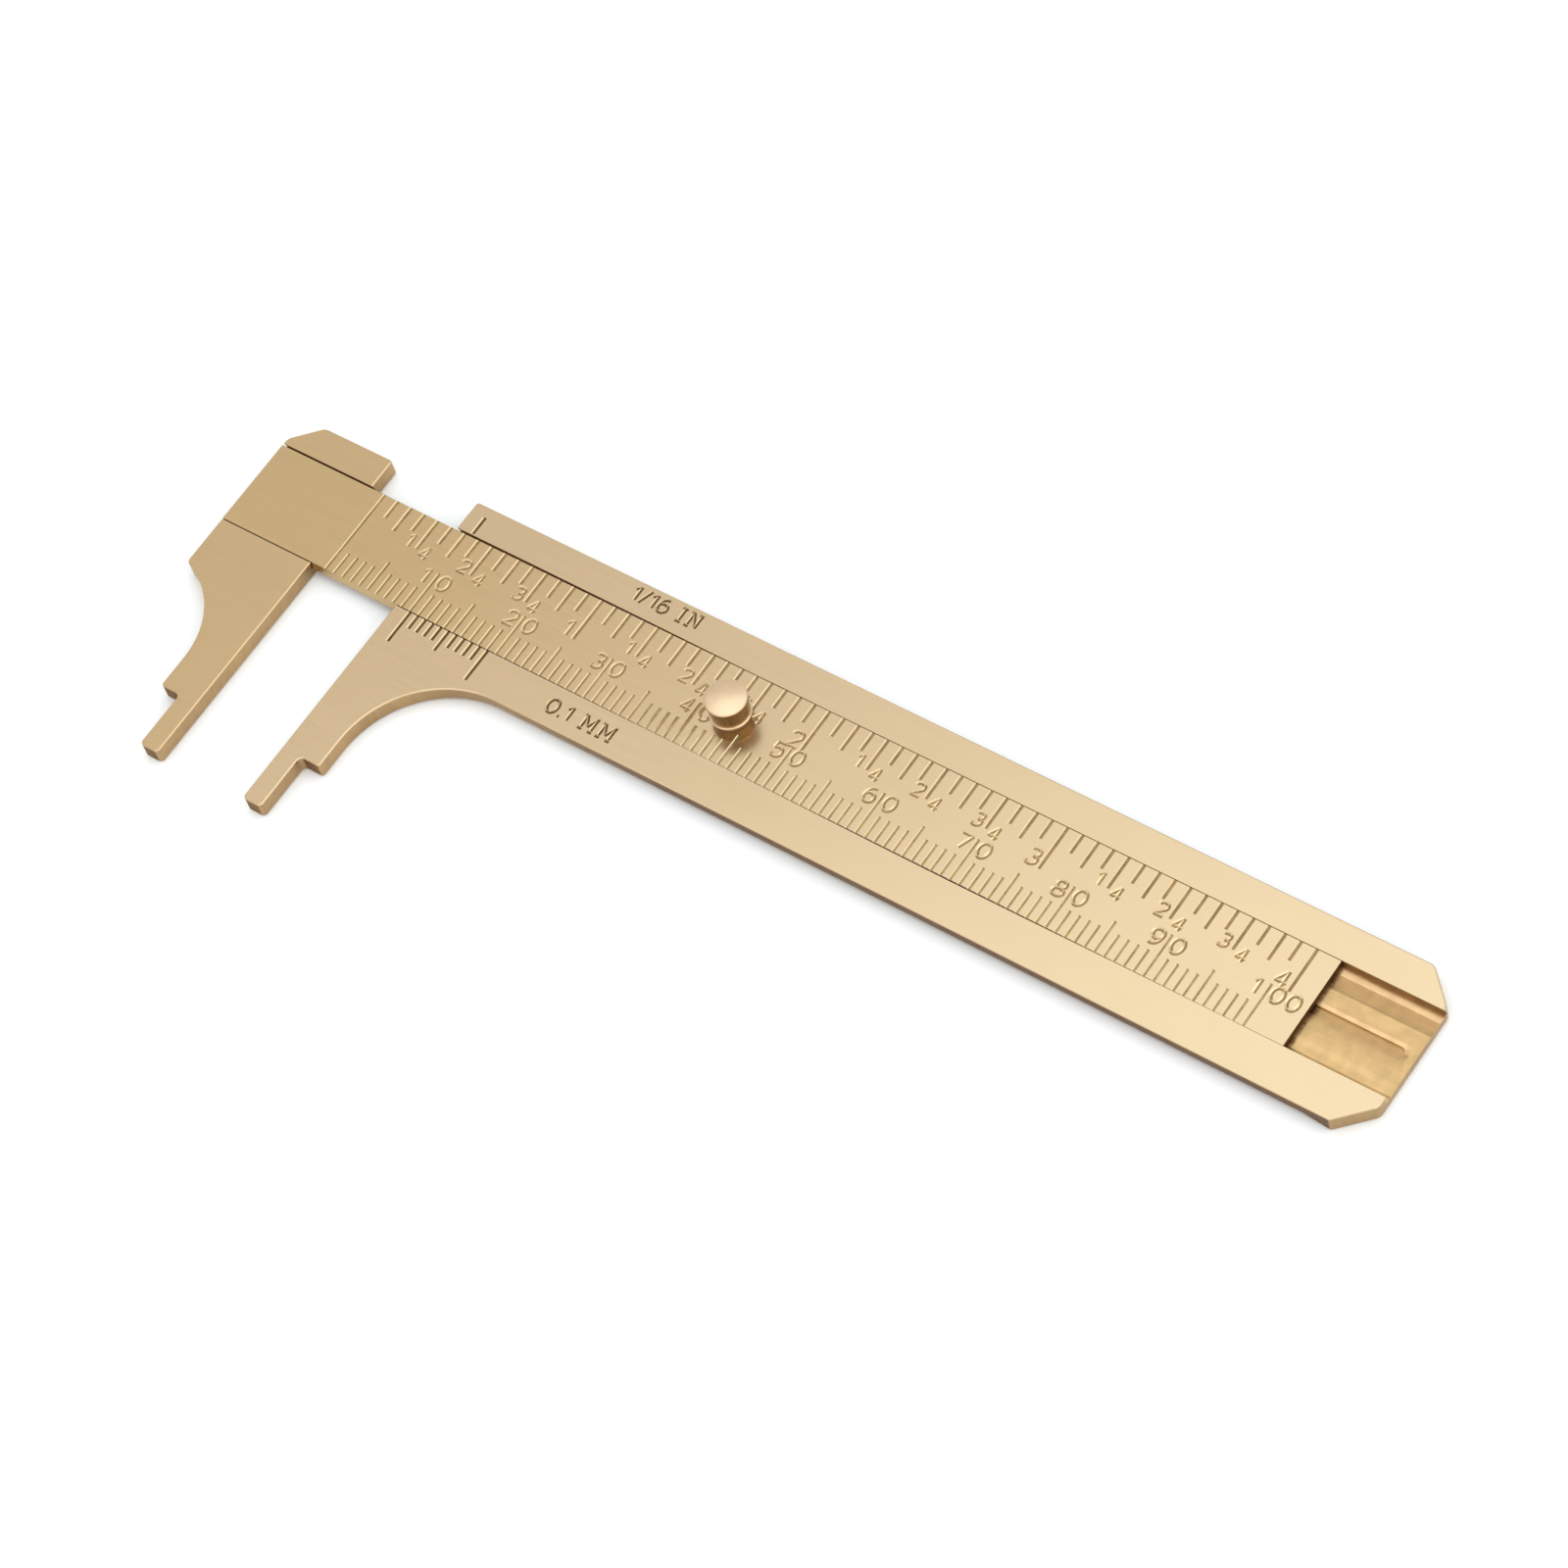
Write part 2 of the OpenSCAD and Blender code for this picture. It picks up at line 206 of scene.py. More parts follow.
class GaugeColours(bpy.types.PropertyGroup):
    """Colours of the finishes"""

    bar: colour("Bar", "Satin brass of the bar and its jaw", "#C6AD89")
    head: colour("Head", "Satin brass of the head and its jaw", "#C2A67D")
    # Painted sheen: the rule's colour grows paler towards its far end
    rule: colour("Rule", "Satin brass of the rule at the head", "#C1A57A")
    # Painted shade: the side walls of the bar, head and jaws are darker than their faces
    edge: colour("Edges", "Milled brass of the side walls, darker as painted shade", "#B2946B")
    # Painted shade: the jaws' ends and steps, which face -Y, are dark brown
    under: colour("Tip ends", "Brass of the jaws' ends and steps, darkened as painted shade", "#835F3B")
    # Painted shade: the bar's long side walls darken along X beyond the fixed jaw, while the end chamfers
    # keep the plain edge colour
    aged: colour("Shaded edges", "Tone that darkens the bar's side walls along X", "#A08A72")
    floor: colour("Channel", "Raw milled brass of the channel floor", "#BB9969")
    # Painted shade: the recessed relief band and the stop groove's bottom and near wall are darker than the
    # floor
    relief: colour("Relief", "Raw milled brass of the upper relief band and the stop groove, darker as painted shade", "#A58156")
    # Painted highlight: the flat beside the upper lip and the stop groove's far slope are paler than the
    # floor
    ledge: colour("Ledge", "Pale brass beside the upper lip and at the stop groove's mouth, a painted highlight", "#CDA779")
    # Painted highlight: the stop groove's far wall is almost white
    rubbed: colour("Groove wall", "Pale brass on the stop groove's far wall, a painted highlight", "#F4E0B6")
    flank: colour("Flanks", "Tarnished brass of the slot's flanks", "#A58A5E")
    # Painted shade: the rule's far end face is dark brown
    end: colour("Rule end", "Brass of the rule's far end, darkened as painted shade", "#5E4226")
    # Engraving: a bare lit side in each groove, and a darkened side away from the light, which is dirt with
    # painted shade
    cut: colour("Engraving", "Bare brass in the engraved lines and labels", "#C4AE8C")
    # Painted highlight: the figures' bare sides are paler than the rule around them
    stamp: colour("Figures", "Bare brass in the scales' figures", "#DEC59B")
    # Painted sheen: the millimetre lines grow paler towards the far end
    faint: colour("Faint shade", "Darkened brass in the millimetre lines", "#A38B5A")
    shade: colour("Shade", "Darkened brass in the inch lines and the figures", "#A68C63")
    patina: colour("Patina", "Dark patina in the vernier and the unit labels", "#705A38")
    knob: colour("Knob", "Polished brass of the knob", "#D4B996")
    # Painted shade: the knob's side and the collar's side are much darker than its polished top
    drum: colour("Knob side", "Turned brass of the knob's side and the collar, darkened as painted shade", "#8C7049")
    pin: colour("Pins", "Drawn brass of rivets and pin", "#BD9A62")
    paper: colour("Paper", "White studio paper", "#F4F4F2")


class StudioSettings(bpy.types.PropertyGroup):
    """Camera and room light"""

    lens: FloatProperty(name="Lens", description="Focal length", default=124.56, unit="CAMERA")
    place: FloatVectorProperty(
        name="Camera", description="Camera position", default=(0.24897, -0.17144, 0.39665),
        subtype="TRANSLATION",
    )
    aim: FloatVectorProperty(
        name="Aim", description="Point in the middle of the picture", default=(0.04141, -0.00354, 0.0018),
        subtype="TRANSLATION",
    )
    roll: FloatProperty(
        name="Roll", description="Turn of the camera about its view", default=math.radians(-19.27),
        subtype="ANGLE",
    )
    room: FloatProperty(name="Room", description="Strength of the even white room light", default=1.0)


# Curves and surfaces

# Largest turn between two points of an arc, steps of a round edge, and points about a turned piece
ARC_STEP = math.radians(5)
EDGE_STEPS = 3
AROUND = 72


def bow(x, y, rx, ry, start, stop):
    """Points of an ellipse arc: (x + rx cos a, y + ry sin a), with a from start to stop in degrees."""
    sweep = math.radians(stop - start)
    steps = max(2, math.ceil(abs(sweep) / ARC_STEP))
    angle = math.radians(start) + np.linspace(0, sweep, steps + 1)
    return np.stack([x + rx * np.cos(angle), y + ry * np.sin(angle)], -1)


def rounded(points):
    """A closed outline through corners (x, y, radius): each corner becomes the arc that touches both
    its sides, and stays a point where its radius is 0."""
    points = np.array(points, float)
    pieces = []
    for back, (x, y, radius), ahead in zip(np.roll(points, 1, 0), points, np.roll(points, -1, 0)):
        at = np.array([x, y])
        if radius == 0:
            pieces.append(at[None])
            continue
        a = (back[:2] - at) / np.linalg.norm(back[:2] - at)
        b = (ahead[:2] - at) / np.linalg.norm(ahead[:2] - at)
        half = math.acos(np.clip(a @ b, -1, 1)) / 2
        centre = at + (a + b) / np.linalg.norm(a + b) * radius / math.sin(half)
        first = at + a * radius / math.tan(half) - centre
        turn = math.copysign(math.pi - 2 * half, b[0] * a[1] - b[1] * a[0])
        start = math.atan2(first[1], first[0])
        pieces.append(bow(*centre, radius, radius, math.degrees(start), math.degrees(start + turn)))
    return np.vstack(pieces)


def mitres(points, closed=True):
    """Shift of each point that offsets both its sides by one, to the right of the path:
    (n1 + n2) / (1 + n1.n2), with the sides' normals n1 and n2."""
    side = np.roll(points, -1, 0) - points
    normal = np.stack([side[:, 1], -side[:, 0]], -1) / np.linalg.norm(side, axis=1)[:, None]
    before = np.roll(normal, 1, 0)
    if not closed:
        normal[-1] = normal[-2]
        before[0] = normal[0]
    return (before + normal) / (1 + (before * normal).sum(1))[:, None]


def skin(rings, closed=False, coats=0, caps=0):
    """Surface P(i, j) through ring i at point j: quads join neighbouring rings, and caps close the two
    ends. A closed path joins its last ring to its first. Coats gives the quads' finishes, caps those of
    the ends."""
    count, around = rings.shape[:2]
    bands = count if closed else count - 1
    i, j = np.meshgrid(np.arange(bands), np.arange(around), indexing="ij")
    k, m = (i + 1) % count, (j + 1) % around
    quads = np.stack([i * around + j, i * around + m, k * around + m, k * around + j], -1)
    ends = [] if closed else [list(range(around)), list(range((count - 1) * around, count * around))]
    coats = np.broadcast_to(coats, (bands, around)).ravel()
    faces = quads.reshape(-1, 4).tolist() + ends
    return rings.reshape(-1, 3), faces, np.append(coats, np.broadcast_to(caps, len(ends)))


def layers(outline, grow, height):
    """Rings of an upright piece: P(i, j) = outline point j moved out by grow (i, j), at height (i, j).
    One value for ring i holds for all its points."""
    shape = len(grow), len(outline)
    grow, height = (np.broadcast_to(np.reshape(row, (len(row), -1)), shape) for row in (grow, height))
    return np.dstack([outline + grow[..., None] * mitres(outline), height])


def plate(outline, low, high, radius, back):
    """Rings of a plate with round edges: layers whose growth and height follow quarter circles. The
    radius at the back may change from point to point."""
    turn = np.linspace(0, math.pi / 2, EDGE_STEPS + 1)
    grow, rise = np.sin(turn) - 1, 1 - np.cos(turn)
    face, back = np.full(len(outline), radius), np.broadcast_to(back, len(outline))
    return layers(
        outline,
        np.vstack([np.outer(grow, back), np.outer(grow[::-1], face)]),
        np.vstack([low + np.outer(rise, back), high - np.outer(rise[::-1], face)]),
    )


def carried(sections, x):
    """Rings of a bar along X: P(i, j) = (x i, point j of section i), with sections in Y and Z."""
    sections = np.array(sections)
    return np.dstack([np.broadcast_to(np.array(x)[:, None], sections.shape[:2]), sections])


def turned(x, y, profile, around=AROUND):
    """Rings of a turned piece: P(i, j) = (x + r cos a, y + r sin a, z), with r and z from profile point i."""
    radius, height = np.array(profile).T
    angle = np.linspace(0, 2 * math.pi, around, endpoint=False)
    plan = np.stack([x + radius[:, None] * np.cos(angle), y + radius[:, None] * np.sin(angle)], -1)
    return np.dstack([plan, np.broadcast_to(height[:, None], plan.shape[:2])])


# Way that the lit side of each groove faces: its steep side, bare, faces this way, its long side, away from
# the light, is darkened by dirt and painted shade
LIT_WAY = np.array([0.78, -0.63])

# Keel of a groove, in its widths: how far off the middle in lines and in stamped figures, and how deep
KEEL_SHIFT, STAMP_SHIFT, KEEL_DEPTH = 0.33, 0.2, 0.24

# Finishes of a groove, in the order in which they are listed to carve it: the bare lit side, then the side
# with dirt and painted shade
BARE_LIT, DIRT_AND_SHADE = 0, 1


def groove(path, width, closed=False, keel=KEEL_SHIFT):
    """Skin of an engraving cutter: P(i, j) = path point i, moved across it to the left brink, the keel,
    the right brink and a ridge above the face. The keel lies off the middle by its shift times the
    cosine to the lit way. The side away from the lit way takes the dark finish: dirt with painted shade."""
    side = mitres(path, closed) * width
    shift = keel * (side @ LIT_WAY) / width
    level = np.full(len(path), TOP_Z)
    rings = np.stack([
        np.column_stack([path - side / 2, level]),
        np.column_stack([path - side * shift[:, None], level - width * KEEL_DEPTH]),
        np.column_stack([path + side / 2, level]),
        np.column_stack([path, level + width]),
    ], 1)
    ahead = np.roll(path, -1, 0) - path if closed else np.diff(path, axis=0)
    steep_left = ahead[:, 1] * LIT_WAY[0] - ahead[:, 0] * LIT_WAY[1] >= 0
    # The side away from the lit way takes the dark finish, dirt with painted shade
    coats = np.where(steep_left[:, None], (BARE_LIT, DIRT_AND_SHADE, BARE_LIT, BARE_LIT), (DIRT_AND_SHADE, BARE_LIT, BARE_LIT, BARE_LIT))
    return skin(rings, closed, coats)


def solid(name, materials, skins):
    """One object, in millimetres, from skins: each shell is closed and its faces point outwards."""
    points, faces, coats, start = [], [], [], 0
    for shell, shell_faces, shell_coats in skins:
        points.append(shell)
        faces += [[start + corner for corner in face] for face in shell_faces]
        coats.append(shell_coats)
        start += len(shell)
    mesh = bpy.data.meshes.new(name)
    mesh.from_pydata(np.vstack(points), [], faces)
    mesh.polygons.foreach_set("material_index", np.concatenate(coats).astype(np.int32))
    for material in materials:
        mesh.materials.append(material)
    shells = bmesh.new()
    shells.from_mesh(mesh)
    bmesh.ops.recalc_face_normals(shells, faces=shells.faces)
    shells.to_mesh(mesh)
    shells.free()
    piece = bpy.data.objects.new(name, mesh)
    bpy.context.scene.collection.objects.link(piece)
    return piece


def carve(piece, materials, skins):
    """Cuts closed skins out of a piece; the new faces keep the finishes of the skins."""
    cutter = solid("cutter", materials, skins)
    cut = piece.modifiers.new("carve", "BOOLEAN")
    cut.operation = "DIFFERENCE"
    cut.solver = "EXACT"
    cut.use_self = True
    cut.material_mode = "TRANSFER"
    cut.object = cutter
    carved = piece.evaluated_get(bpy.context.evaluated_depsgraph_get())
    mesh = bpy.data.meshes.new_from_object(carved)
    piece.modifiers.remove(cut)
    piece.data = mesh
    bpy.data.objects.remove(cutter)


# Largest angle between faces that are shaded as one
SMOOTH_ANGLE = math.radians(10)


def mount(piece, body, slot, *nodes):
    """Scales a piece to metres, shades its arcs smooth and mounts it for construction nodes on a body."""
    piece.data.transform(Matrix.Scale(MM, 4))
    piece.data.shade_smooth()
    piece.data.set_sharp_from_angle(angle=SMOOTH_ANGLE)
    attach(piece, body)
    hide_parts(*nodes)


# Figures as pen strokes, one unit high: ellipse arcs and straight lines

def line(x0, y0, x1, y1):
    """A straight stroke."""
    return np.array([[x0, y0], [x1, y1]], float)


FIGURES = {
    "0": [bow(0, 0.5, 0.36, 0.5, 0, 360)],
    "1": [line(0.1, 0, 0.1, 1), line(-0.2, 0.76, 0.1, 1)],
    "2": [bow(0, 0.7, 0.32, 0.3, 165, -38), line(-0.34, 0, 0.27, 0.54), line(-0.34, 0, 0.36, 0)],
    "3": [bow(0, 0.75, 0.29, 0.25, 150, -90), bow(0, 0.26, 0.33, 0.26, 90, -150)],
    "4": [line(-0.36, 0.28, 0.12, 1), line(-0.36, 0.28, 0.36, 0.28), line(0.14, 0, 0.14, 1)],
    "5": [line(0.32, 1, -0.22, 1), line(-0.29, 0.52, -0.22, 1), bow(0, 0.33, 0.34, 0.33, 138, -145)],
    "6": [bow(0, 0.32, 0.34, 0.32, 0, 360), bow(0.12, 0.32, 0.46, 0.68, 72, 180)],
    "7": [line(-0.34, 1, 0.34, 1), line(-0.1, 0, 0.34, 1)],
    "8": [bow(0, 0.75, 0.28, 0.25, 0, 360), bow(0, 0.25, 0.35, 0.25, 0, 360)],
    "9": [bow(0, 0.68, 0.34, 0.32, 0, 360), bow(-0.12, 0.68, 0.46, 0.68, 252, 360)],
    "/": [line(-0.22, -0.05, 0.22, 1.05)],
    ".": [line(-0.07, 0.05, 0.07, 0.05)],
    "I": [line(0, 0, 0, 1), line(-0.2, 0, 0.2, 0), line(-0.2, 1, 0.2, 1)],
    "N": [line(-0.3, 0, -0.3, 1), line(-0.3, 1, 0.3, 0), line(0.3, 0, 0.3, 1),
          line(-0.46, 0, -0.14, 0), line(-0.46, 1, -0.3, 1), line(0.14, 1, 0.46, 1)],
    "M": [line(-0.38, 0, -0.38, 1), line(-0.38, 1, 0, 0.25), line(0, 0.25, 0.38, 1), line(0.38, 0, 0.38, 1),
          line(-0.54, 0, -0.22, 0), line(0.22, 0, 0.54, 0), line(-0.54, 1, -0.38, 1), line(0.38, 1, 0.54, 1)],
}

# Width of the space between words, in heights
SPACE = 0.3


def figure(sign, x, y, height, width, keel=KEEL_SHIFT):
    """V-groove skins of one figure, centred on x and standing on y."""
    skins = []
    for stroke in FIGURES[sign]:
        ring = np.allclose(stroke[0], stroke[-1])
        skins.append(groove((stroke[:-1] if ring else stroke) * height + (x, y), width, ring, keel))
    return skins


def label(text, x, y, height, gap, width):
    """V-groove skins of a row of figures centred on x, with even gaps between their strokes."""
    widths = [np.ptp(np.vstack(FIGURES[sign])[:, 0]) if sign in FIGURES else SPACE for sign in text]
    ends = np.cumsum(np.array(widths) * height + gap)
    skins = []
    for sign, end, wide in zip(text, ends, widths):
        if sign in FIGURES:
            middle = x - (ends[-1] - gap) / 2 + end - gap - wide * height / 2
            skins += figure(sign, middle, y, height, width)
    return skins


def upright(x, y0, y1, width):
    """V-groove skin of one scale line."""
    return groove(line(x, y0, x, y1), width)


def in_mm(group):
    """The lengths of a settings group, in millimetres."""
    return SimpleNamespace(**{name: getattr(group, name) / MM for name in group.__annotations__})


def across(size):
    """Places across the bar, in millimetres, that several pieces share."""
    half_slot = size.slot_w / 2
    return SimpleNamespace(
        half_slot=half_slot,
        lower=-half_slot - size.lower_lip_w,
        step=TIP_Y + size.tip_l,
    )


# Lean of the dovetail's flanks, as run over rise
LEAN = math.tan(math.radians(15))


def dovetail(size, half, foot_z, way):
    """Half section of a dovetail, from its half width at the face: foot, then brink and mouth of the
    broken edge, which goes outwards in a slot, way 1, and inwards on the rule, way -1."""
    return [
        (half + (TOP_Z - foot_z) * LEAN, foot_z),
        (half + size.mouth * LEAN, TOP_Z - size.mouth),
        (half + way * size.mouth, TOP_Z),
    ]


def mirrored(upper, lower=None):
    """A whole section from its upper half and the mirror of its lower half, by default the same."""
    upper = np.array(upper)
    return np.vstack([upper, np.array(upper if lower is None else lower)[::-1] * (-1, 1)])


# Finishes

def add(tree, kind, inputs=None, **settings):
    """Adds a node: settings are its properties, inputs hold values or the sockets that feed them."""
    node = tree.nodes.new(kind)
    for key, value in settings.items():
        setattr(node, key, value)
    for key, value in (inputs or {}).items():
        if isinstance(value, bpy.types.NodeSocket):
            tree.links.new(value, node.inputs[key])
        else:
            node.inputs[key].default_value = value
    return node


def per_mm(size):
    """Texture scale at which one cell of a pattern measures that many millimetres."""
    return 1 / (size * MM)


def tint(rgb, share):
    """A colour made lighter or darker by a share."""
    return (*[min(1.0, channel * share) for channel in rgb], 1)


# Stretch of X, in millimetres, along which a painted tone, of sheen or of shade, comes in
PAINTED_X = (2, 32)

# Values of one noise, and of two added, between which a finish changes
ONE_NOISE = (0.3, 0.7)
TWO_NOISES = (0.7, 1.3)

# Colour sockets of the Mix node: two inputs and the result
MIX_A, MIX_B, MIX_RESULT = 6, 7, 2


def blank(name):
    """A material with an empty node tree, and that tree."""
    material = bpy.data.materials.new(name)
    material.use_nodes = True
    material.node_tree.nodes.clear()
    return material, material.node_tree


def worked_brass(name, rgb, stroke, rough, contrast, cloud=5.0, grain=0.12, relief=0.004, aged=(1, 1, 1)):
    """Brass with tool marks: strokes of the given size in millimetres along X, Y and Z, clouded colour
    and fine grain. The marks change colour by the contrast and swing the roughness between two values.
    Along that stretch of X the colour is multiplied more and more by the painted tone: painted sheen on
    the rule and its lines, painted shade on the bar's side walls. The grain is coarser than real grit,
    so that it shows."""
    material, tree = blank(name)
    spot = add(tree, "ShaderNodeTexCoord").outputs["Object"]
    drawn = add(tree, "ShaderNodeMapping", {"Vector": spot, "Scale": [per_mm(side) for side in stroke]})
    marks = add(tree, "ShaderNodeTexNoise", {"Vector": drawn.outputs[0], "Scale": 1.0, "Detail": 3.0})
    clouds = add(tree, "ShaderNodeTexNoise", {"Vector": spot, "Scale": per_mm(cloud), "Detail": 2.0})
    grains = add(tree, "ShaderNodeTexNoise", {"Vector": spot, "Scale": per_mm(grain), "Detail": 2.0})
    both = add(tree, "ShaderNodeMath", {0: marks.outputs["Fac"], 1: clouds.outputs["Fac"]}, operation="ADD")
    shade = add(tree, "ShaderNodeMapRange", {
        "Value": both.outputs[0], "From Min": TWO_NOISES[0], "From Max": TWO_NOISES[1],
    })
    base = add(tree, "ShaderNodeMix", {
        0: shade.outputs[0], MIX_A: tint(rgb, 1 - contrast), MIX_B: tint(rgb, 1 + contrast),
    }, data_type="RGBA")
    along = add(tree, "ShaderNodeSeparateXYZ", {0: spot})
    painted_share = add(tree, "ShaderNodeMapRange", {
        "Value": along.outputs["X"], "From Min": PAINTED_X[0] * MM, "From Max": PAINTED_X[1] * MM,
    })
    painted_base = add(tree, "ShaderNodeMix", {
        0: painted_share.outputs[0], MIX_A: base.outputs[MIX_RESULT], MIX_B: (*aged, 1),
    }, data_type="RGBA", blend_type="MULTIPLY")
    gloss = add(tree, "ShaderNodeMapRange", {
        "Value": marks.outputs["Fac"], "From Min": ONE_NOISE[0], "From Max": ONE_NOISE[1],
        "To Min": rough[0], "To Max": rough[1],
    })
    height = add(tree, "ShaderNodeMath", {0: marks.outputs["Fac"], 1: grains.outputs["Fac"]}, operation="ADD")
    bump = add(tree, "ShaderNodeBump", {
        "Strength": 1.0, "Distance": relief * MM, "Height": height.outputs[0],
    })
    metal = add(tree, "ShaderNodeBsdfPrincipled", {
        "Base Color": painted_base.outputs[MIX_RESULT], "Roughness": gloss.outputs[0],
        "Normal": bump.outputs[0], "Metallic": 1.0,
    })
    add(tree, "ShaderNodeOutputMaterial", {"Surface": metal.outputs[0]})
    return material


# Painted sheen: tone of the rule's far end, against that of its end in the head, paler where the lamps' sheen
# falls
RULE_SHEEN = (1.04, 1.09, 1.25)

# The same painted sheen for the millimetre lines, which grow paler towards the far end
LINE_SHEEN = (1.25, 1.32, 1.6)


def satin_brass(name, rgb, aged=(1, 1, 1)):
    """Brass sheet, finely blasted after a light lengthwise brushing: pale, with a soft sheen and faint
    streaks along X."""
    return worked_brass(
        name, rgb, stroke=(9, 0.25, 0.25), rough=(0.22, 0.26), contrast=0.012, relief=0.0002, aged=aged
    )


def milled_edge_brass(name, rgb, aged=(1, 1, 1)):
    """Brass of the side walls with the cutter's short upright marks, darker than the faces as painted shade.
    """
    return worked_brass(name, rgb, stroke=(0.5, 0.5, 2), rough=(0.3, 0.45), contrast=0.12, aged=aged)


def milled_floor_brass(name, rgb):
    """Raw milled brass in the channel: golden, shiny, with long cutter streaks along X."""
    return worked_brass(name, rgb, stroke=(16, 0.25, 0.25), rough=(0.22, 0.4), contrast=0.14, cloud=1.2)


def tarnished_brass(name, rgb, aged=(1, 1, 1)):
    """Brown, dull and cloudy brass: tarnish on the slot's flanks, painted shade on the jaws' ends, the rule's
    far end and the dark sides of the engraving, with dirt there.
    """
    return worked_brass(
        name, rgb, stroke=(0.5, 0.3, 0.3), rough=(0.5, 0.65), contrast=0.25, cloud=1.5, aged=aged
    )


def engraved_brass(name, rgb):
    """Bare brass inside an engraved line or figure: pale and shiny, with the tool's marks along Y; the
    figures' paler tone is a painted highlight on their lit side.
    """
    return worked_brass(name, rgb, stroke=(0.3, 1, 0.3), rough=(0.25, 0.36), contrast=0.06, relief=0.002)


def turned_brass(rgb):
    """Turned brass of the knob's side and collar: brown as painted shade, shiny, with fine rings about the
    axis.
    """
    return worked_brass(
        "turned_brass", rgb, stroke=(2, 2, 0.15), rough=(0.22, 0.28), contrast=0.04, relief=0.0003
    )


def drawn_brass(rgb):
    """Drawn brass wire of rivets and pin: bright, with fine marks."""
    return worked_brass("drawn_pin_brass", rgb, stroke=(0.4, 0.4, 3), rough=(0.25, 0.38), contrast=0.08)


def polished_brass(rgb):
    """Faced and polished brass of the knob's dome and collar's flange: soft mirror with slight clouds."""
    return worked_brass(
        "polished_brass", rgb, stroke=(2, 2, 0.2), rough=(0.28, 0.36), contrast=0.05, cloud=1.5, relief=0.001
    )


def studio_paper(rgb):
    """White studio paper: matt, so that it takes the object's soft shadow."""
    material, tree = blank("studio_paper")
    paper = add(tree, "ShaderNodeBsdfDiffuse", {"Color": (*rgb, 1)})
    add(tree, "ShaderNodeOutputMaterial", {"Surface": paper.outputs[0]})
    return material


FINISHES = {}


def finishes(context):
    """The finishes of the pieces, made once."""
    if not FINISHES:
        tone = context.scene.gauge_colours
        FINISHES.update(
            bar=satin_brass("satin_bar_brass", tone.bar),
            head=satin_brass("satin_head_brass", tone.head),
            rule=satin_brass("satin_rule_brass", tone.rule, RULE_SHEEN),
            edge=milled_edge_brass("milled_edge_brass", tone.edge),
            aged=milled_edge_brass("shaded_edge_brass", tone.edge, tone.aged),
            under=tarnished_brass("shaded_tip_brass", tone.under),
            floor=milled_floor_brass("milled_floor_brass", tone.floor),
            relief=milled_floor_brass("shaded_relief_brass", tone.relief),
            ledge=milled_floor_brass("highlight_floor_brass", tone.ledge),
            rubbed=milled_floor_brass("highlight_wall_brass", tone.rubbed),
            flank=tarnished_brass("tarnished_flank_brass", tone.flank),
            end=tarnished_brass("shaded_end_brass", tone.end),
            cut=engraved_brass("engraved_line_brass", tone.cut),
            stamp=engraved_brass("stamped_figure_brass", tone.stamp),
            faint=tarnished_brass("faint_engraving_brass", tone.faint, LINE_SHEEN),
            shade=tarnished_brass("darkened_engraving_brass", tone.shade),
            patina=tarnished_brass("engraving_patina_and_shade", tone.patina),
            knob=polished_brass(tone.knob),
            drum=turned_brass(tone.drum),
            pin=drawn_brass(tone.pin),
        )
    return SimpleNamespace(**FINISHES)


# Share of a wall's normal along -Y from which it counts as the end of a jaw or its step
END_FACING = 0.97


def plate_coats(outline, wall, end, below):
    """Finishes of a plate's bands: 0 on the round edges, wall on the side wall, and end where the wall
    ends a jaw, below a Y; the end finish is painted shade on these walls, which face -Y."""
    ahead = np.roll(outline, -1, 0) - outline
    ends = (ahead[:, 0] > END_FACING * np.linalg.norm(ahead, axis=1)) & (outline[:, 1] < below)
    coats = np.zeros((2 * EDGE_STEPS + 1, len(outline)), int)
    coats[EDGE_STEPS] = np.where(ends, end, wall)
    return coats


# Wear of the lower lip, and gap at the lower flank of the rule's seat, as shares of the upper ones
LOWER_WEAR = 0.4

# Steps along the wear and along the hollow
WEAR_STEPS = 6


